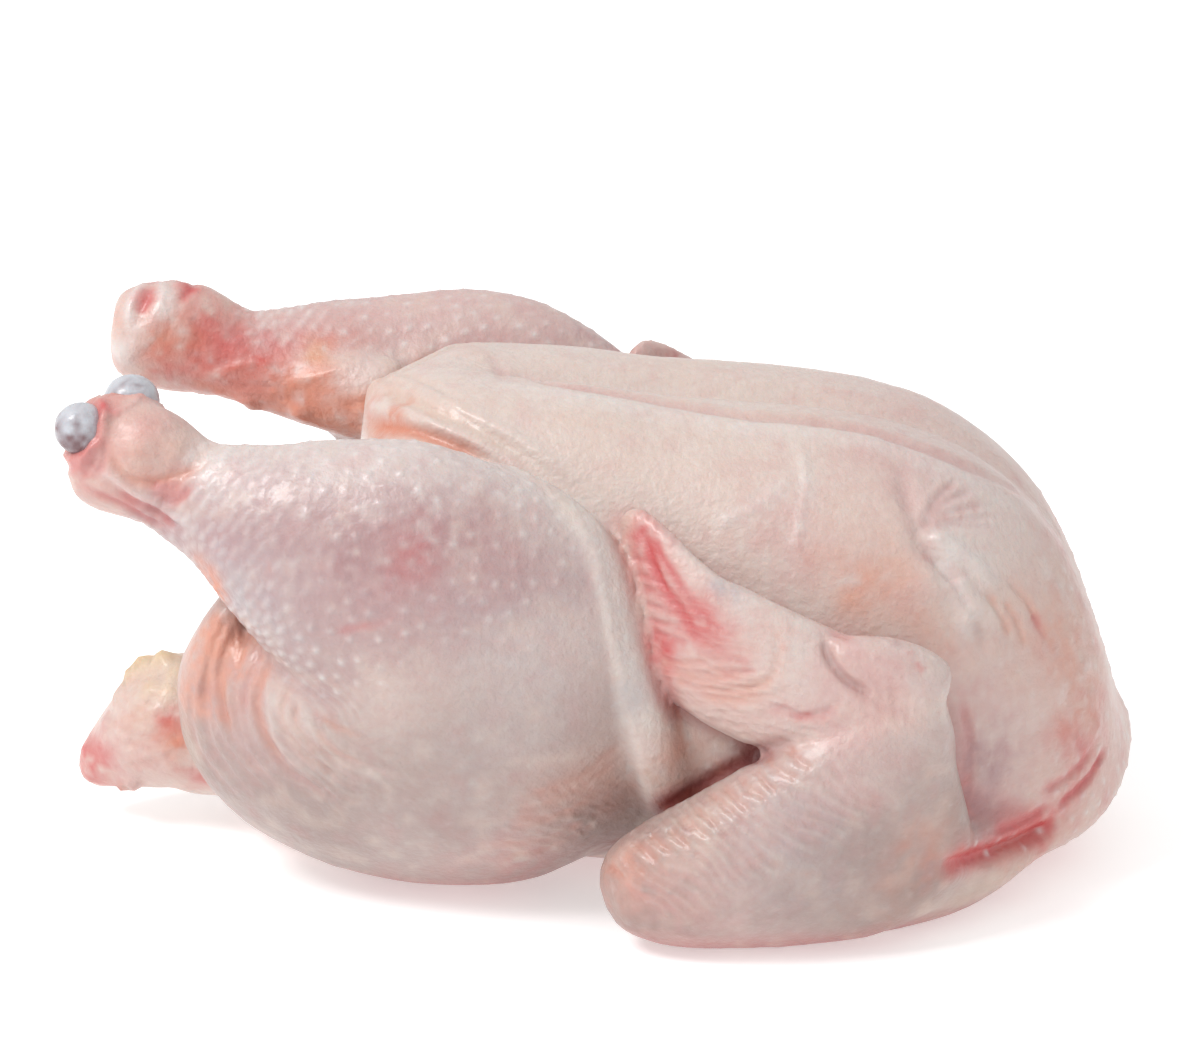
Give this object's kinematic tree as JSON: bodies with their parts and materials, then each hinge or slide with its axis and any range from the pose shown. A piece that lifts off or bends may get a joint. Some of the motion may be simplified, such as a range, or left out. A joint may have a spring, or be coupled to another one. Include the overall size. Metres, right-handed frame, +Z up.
{
  "type": "whole raw chicken",
  "caption": "Whole raw chicken, plucked and drawn, lying on its back with pale pink skin, raised drumsticks, folded wings, a tail and an open body cavity.",
  "frame": {"origin": "on the table under the middle of the bird", "axes": "+Z up, +X from the tail towards the neck, +Y from the bird's left side towards its right side as it lies breast up"},
  "size_m": [0.2468, 0.1612, 0.12],
  "materials": {
    "skin": "moist raw poultry skin, pale pink with redder patches, soft gloss"
  },
  "bodies": {
    "root": {"chicken": "skin"}
  },
  "joints": []
}
